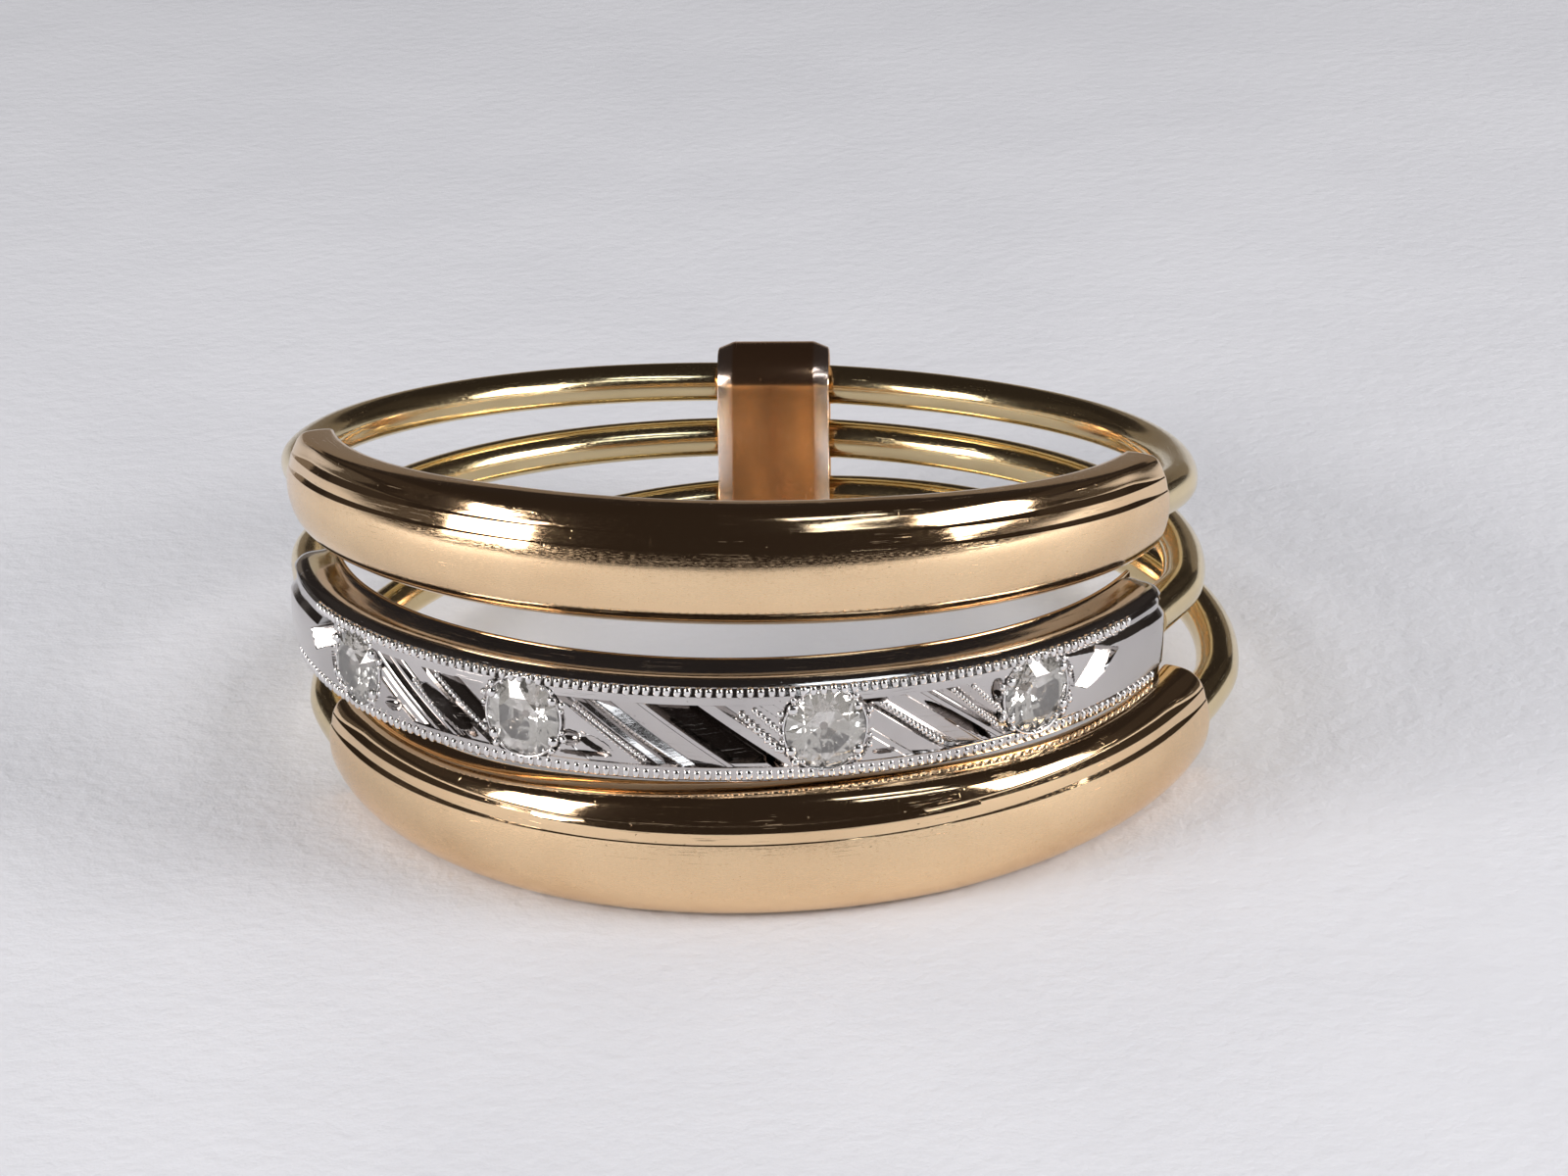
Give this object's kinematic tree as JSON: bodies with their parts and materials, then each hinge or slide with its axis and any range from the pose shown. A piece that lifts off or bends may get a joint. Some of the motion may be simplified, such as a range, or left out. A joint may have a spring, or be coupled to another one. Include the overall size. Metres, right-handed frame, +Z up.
{
  "type": "triple band ring",
  "caption": "Finger ring of bands hinged in one folded strap at the back: domed yellow gold fronts above and below an engraved white gold plate set with small round stones.",
  "frame": {"origin": "on the table under the middle of the ring's box, the ring lying on its side", "axes": "+Z up, along the finger; -Y toward the bands' front sections; +X to the right seen from the front"},
  "size_m": [0.0196, 0.0204, 0.0079],
  "materials": {
    "yellow_gold": "polished, worn",
    "white_gold": "polished, bright cut",
    "keeper_gold": "polished, worn",
    "stone": "faceted"
  },
  "bodies": {
    "middle": {"middle_band": "yellow_gold", "engraved_plate": "white_gold", "stone_1": "stone", "stone_2": "stone", "stone_3": "stone", "stone_4": "stone", "keeper": "keeper_gold"},
    "upper": {"upper_band": "yellow_gold"},
    "lower": {"lower_band": "yellow_gold"}
  },
  "joints": [
    {"name": "upper_fan", "type": "hinge", "parent": "middle", "child": "upper", "pos_m": [0.00036, 0.00926, 0.00366], "axis": [-0.9951, 0.0886, 0.0444], "range_deg": [0, 90]},
    {"name": "lower_fan", "type": "hinge", "parent": "middle", "child": "lower", "pos_m": [0.00036, 0.00869, 0.00097], "axis": [0.9998, -0.0209, 0.0003], "range_deg": [0, 90]}
  ]
}
